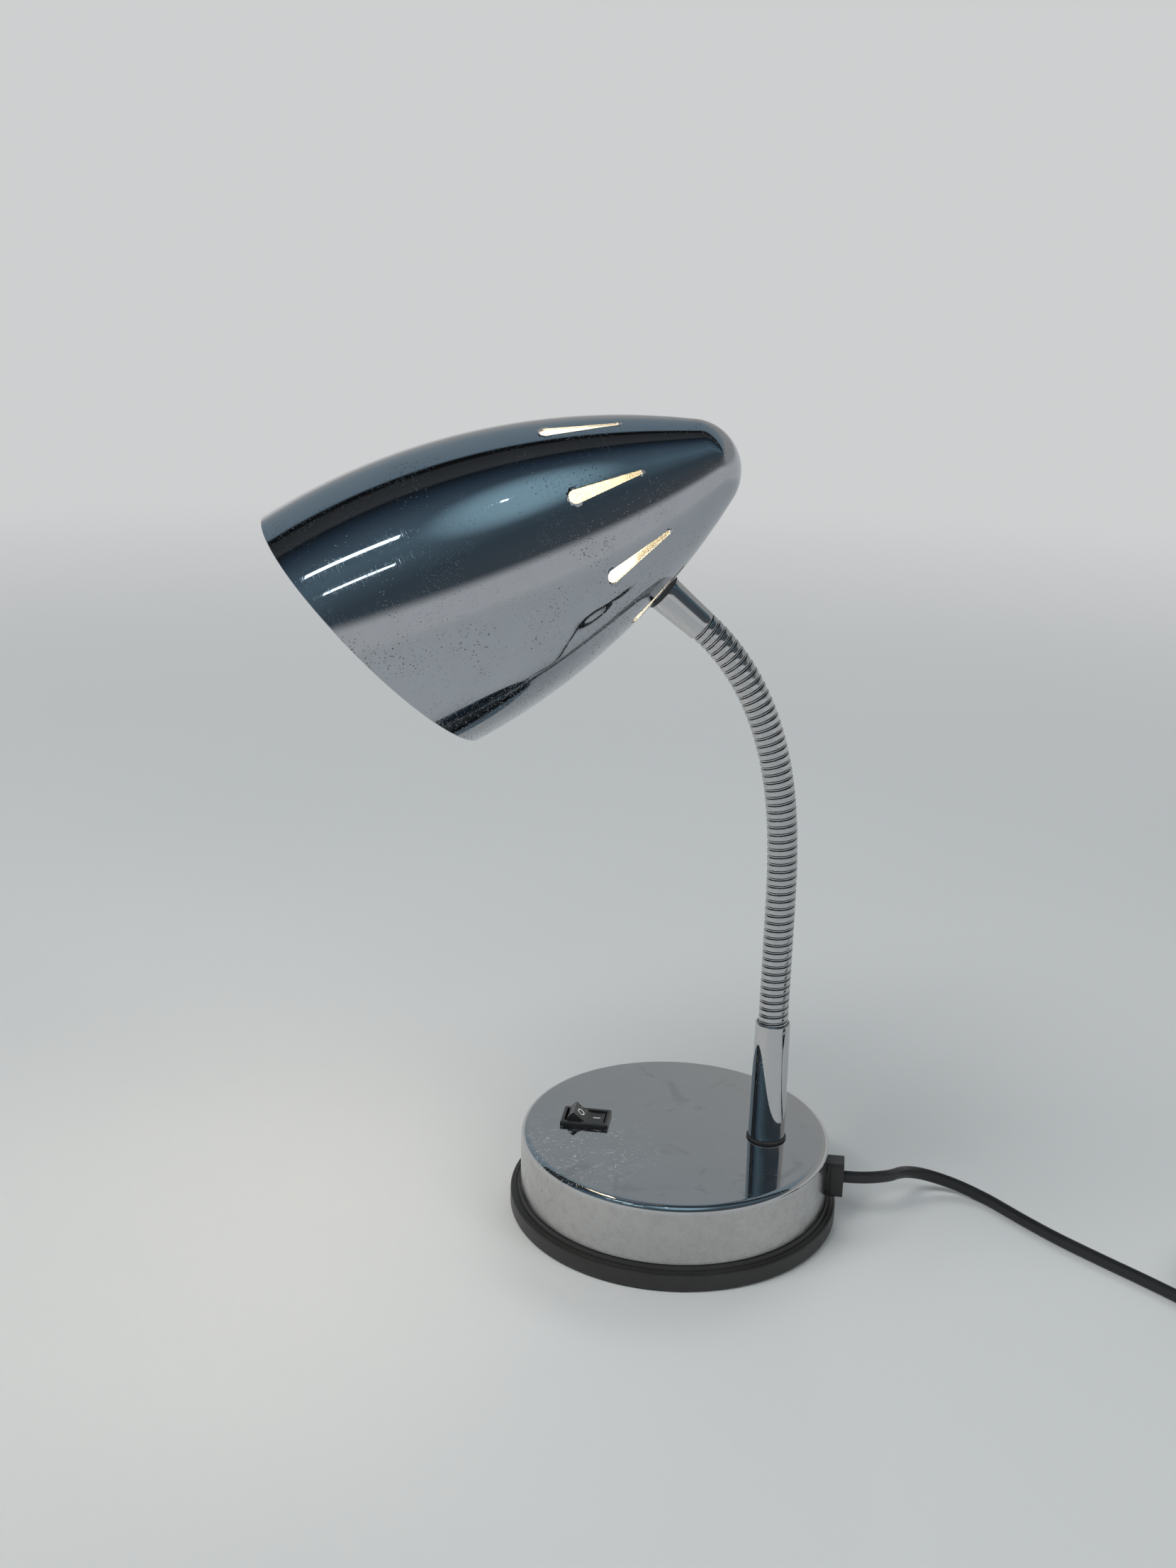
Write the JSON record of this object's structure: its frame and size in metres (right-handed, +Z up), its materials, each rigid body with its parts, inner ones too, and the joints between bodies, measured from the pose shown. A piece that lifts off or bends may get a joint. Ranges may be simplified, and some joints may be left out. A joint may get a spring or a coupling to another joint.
{
  "type": "gooseneck desk lamp",
  "caption": "Desk lamp with a slotted bullet-shaped chrome shade on a flexible gooseneck, standing on a round weighted base with a rocker switch.",
  "frame": {"origin": "middle of the pad under the base, on the surface that the lamp stands on", "axes": "+Z up; +X from the middle of the base through the column to the cord's exit; the shade reaches towards -X; +Y to the rear"},
  "size_m": [0.5064, 0.1582, 0.3403],
  "materials": {
    "chrome_steel": "mirror chrome plate with fine scratches",
    "neck_chrome": "chromed wound steel",
    "bare_steel": "zinc plated",
    "ballast": "rough, oiled",
    "black_plastic": "satin moulded",
    "switch_plastic": "gloss moulded",
    "gasket_rubber": "matt",
    "pad_foam": "closed-cell foam",
    "brass": "stamped",
    "cord_black": "flexible PVC, satin",
    "plug_black": "flexible PVC moulding",
    "pin_nickel": "nickel plate",
    "lead_brown": "PVC insulation",
    "lead_blue": "PVC insulation",
    "holder_cream": "moulded thermoset",
    "bulb_opal": "opal glass, lit",
    "insulator": "black glass insulator"
  },
  "bodies": {
    "base": {"base_cover": "chrome_steel", "base_tray": "black_plastic", "base_pad": "pad_foam", "ballast_weight": "ballast", "base_screws": "bare_steel", "cover_pillars": "bare_steel", "switch_housing": "switch_plastic", "switch_terminals": "brass", "cord_bushing": "black_plastic", "switch_lead": "lead_brown", "neck_lead": "lead_blue", "column_sleeve": "chrome_steel", "column_gasket": "gasket_rubber", "column_washer": "bare_steel", "column_nut": "bare_steel", "neck_foot_fitting": "neck_chrome", "power_cord": "cord_black", "cord_coil": "cord_black", "cord_tail": "cord_black", "coil_tie": "cord_black", "plug_body": "plug_black", "plug_pins": "pin_nickel"},
    "rocker": {"switch_rocker": "switch_plastic"},
    "link_01": {"neck_link_01": "neck_chrome"},
    "link_02": {"neck_link_02": "neck_chrome"},
    "link_03": {"neck_link_03": "neck_chrome"},
    "link_04": {"neck_link_04": "neck_chrome"},
    "link_05": {"neck_link_05": "neck_chrome"},
    "link_06": {"neck_link_06": "neck_chrome"},
    "link_07": {"neck_link_07": "neck_chrome"},
    "link_08": {"neck_link_08": "neck_chrome"},
    "link_09": {"neck_link_09": "neck_chrome"},
    "link_10": {"neck_link_10": "neck_chrome"},
    "link_11": {"neck_link_11": "neck_chrome"},
    "link_12": {"neck_link_12": "neck_chrome"},
    "link_13": {"neck_link_13": "neck_chrome"},
    "link_14": {"neck_link_14": "neck_chrome"},
    "link_15": {"neck_link_15": "neck_chrome"},
    "link_16": {"neck_link_16": "neck_chrome"},
    "link_17": {"neck_link_17": "neck_chrome"},
    "link_18": {"neck_link_18": "neck_chrome"},
    "head": {"neck_head_fitting": "neck_chrome", "head_collar": "chrome_steel", "collar_seal": "gasket_rubber", "shade": "chrome_steel", "shade_saddle": "bare_steel", "shade_nut": "bare_steel", "holder_strap": "bare_steel", "holder_nut": "bare_steel", "holder_cap": "holder_cream", "holder_body": "holder_cream", "holder_shell": "brass", "holder_tongue": "brass", "holder_lead": "lead_blue", "bulb_glass": "bulb_opal", "bulb_cap": "bare_steel", "bulb_contact": "insulator"}
  },
  "joints": [
    {"name": "rocker_pivot", "type": "hinge", "parent": "base", "child": "rocker", "pos_m": [-0.039, 0, 0.0345], "axis": [0, 1, 0], "range_deg": [-36, 0]},
    {"name": "neck_00_bend", "type": "hinge", "parent": "base", "child": "link_01", "pos_m": [0.0394, 0, 0.0912], "axis": [0.184, -0.9829, 0], "range_deg": [-8, 5]},
    {"name": "neck_01_bend", "type": "hinge", "parent": "link_01", "child": "link_02", "pos_m": [0.0394, 0, 0.10089], "axis": [0.184, -0.9829, 0], "range_deg": [-8, 5]},
    {"name": "neck_02_bend", "type": "hinge", "parent": "link_02", "child": "link_03", "pos_m": [0.0394, 0, 0.11058], "axis": [0.184, -0.9829, 0], "range_deg": [-8, 5]},
    {"name": "neck_03_side", "type": "hinge", "parent": "link_03", "child": "link_04", "pos_m": [0.0394, 0, 0.12027], "axis": [0.9829, 0.184, 0], "range_deg": [-8, 8]},
    {"name": "neck_04_bend", "type": "hinge", "parent": "link_04", "child": "link_05", "pos_m": [0.0394, 0, 0.12996], "axis": [0.184, -0.9829, 0], "range_deg": [-8, 5]},
    {"name": "neck_05_bend", "type": "hinge", "parent": "link_05", "child": "link_06", "pos_m": [0.0394, 0, 0.13965], "axis": [0.184, -0.9829, 0], "range_deg": [-8, 5]},
    {"name": "neck_06_bend", "type": "hinge", "parent": "link_06", "child": "link_07", "pos_m": [0.03936, -0.00001, 0.14934], "axis": [0.184, -0.9829, 0], "range_deg": [-9, 5]},
    {"name": "neck_07_bend", "type": "hinge", "parent": "link_07", "child": "link_08", "pos_m": [0.03919, -0.00004, 0.15903], "axis": [0.184, -0.9829, 0], "range_deg": [-9, 5]},
    {"name": "neck_08_side", "type": "hinge", "parent": "link_08", "child": "link_09", "pos_m": [0.03881, -0.00011, 0.16871], "axis": [0.9814, 0.1837, 0.056], "range_deg": [-8, 8]},
    {"name": "neck_09_bend", "type": "hinge", "parent": "link_09", "child": "link_10", "pos_m": [0.03812, -0.00024, 0.17838], "axis": [0.184, -0.9829, 0], "range_deg": [-9, 5]},
    {"name": "neck_10_bend", "type": "hinge", "parent": "link_10", "child": "link_11", "pos_m": [0.03706, -0.00044, 0.18801], "axis": [0.184, -0.9829, 0], "range_deg": [-9, 5]},
    {"name": "neck_11_bend", "type": "hinge", "parent": "link_11", "child": "link_12", "pos_m": [0.03552, -0.00073, 0.19757], "axis": [0.184, -0.9829, 0], "range_deg": [-9, 5]},
    {"name": "neck_12_bend", "type": "hinge", "parent": "link_12", "child": "link_13", "pos_m": [0.03343, -0.00112, 0.20702], "axis": [0.184, -0.9829, 0], "range_deg": [-10, 4]},
    {"name": "neck_13_side", "type": "hinge", "parent": "link_13", "child": "link_14", "pos_m": [0.03073, -0.00162, 0.21631], "axis": [0.9309, 0.1742, 0.3211], "range_deg": [-8, 8]},
    {"name": "neck_14_bend", "type": "hinge", "parent": "link_14", "child": "link_15", "pos_m": [0.02732, -0.00226, 0.22536], "axis": [0.184, -0.9829, 0], "range_deg": [-10, 4]},
    {"name": "neck_15_bend", "type": "hinge", "parent": "link_15", "child": "link_16", "pos_m": [0.02317, -0.00304, 0.23408], "axis": [0.184, -0.9829, 0], "range_deg": [-10, 4]},
    {"name": "neck_16_bend", "type": "hinge", "parent": "link_16", "child": "link_17", "pos_m": [0.01823, -0.00396, 0.24236], "axis": [0.184, -0.9829, 0], "range_deg": [-10, 4]},
    {"name": "neck_17_bend", "type": "hinge", "parent": "link_17", "child": "link_18", "pos_m": [0.01246, -0.00504, 0.25008], "axis": [0.184, -0.9829, 0], "range_deg": [-10, 4]},
    {"name": "neck_18_side", "type": "hinge", "parent": "link_18", "child": "head", "pos_m": [0.00588, -0.00627, 0.25708], "axis": [0.6721, 0.1258, 0.7297], "range_deg": [-8, 8]}
  ],
  "couplings": [
    {"joint": "neck_01_bend", "follows": "neck_00_bend", "ratio": 1},
    {"joint": "neck_02_bend", "follows": "neck_00_bend", "ratio": 1},
    {"joint": "neck_04_bend", "follows": "neck_00_bend", "ratio": 1},
    {"joint": "neck_05_bend", "follows": "neck_00_bend", "ratio": 1},
    {"joint": "neck_07_bend", "follows": "neck_06_bend", "ratio": 1},
    {"joint": "neck_09_bend", "follows": "neck_06_bend", "ratio": 1},
    {"joint": "neck_10_bend", "follows": "neck_06_bend", "ratio": 1},
    {"joint": "neck_11_bend", "follows": "neck_06_bend", "ratio": 1},
    {"joint": "neck_14_bend", "follows": "neck_12_bend", "ratio": 1},
    {"joint": "neck_15_bend", "follows": "neck_12_bend", "ratio": 1},
    {"joint": "neck_16_bend", "follows": "neck_12_bend", "ratio": 1},
    {"joint": "neck_17_bend", "follows": "neck_12_bend", "ratio": 1},
    {"joint": "neck_08_side", "follows": "neck_03_side", "ratio": 1},
    {"joint": "neck_13_side", "follows": "neck_03_side", "ratio": 1},
    {"joint": "neck_18_side", "follows": "neck_03_side", "ratio": 1}
  ]
}
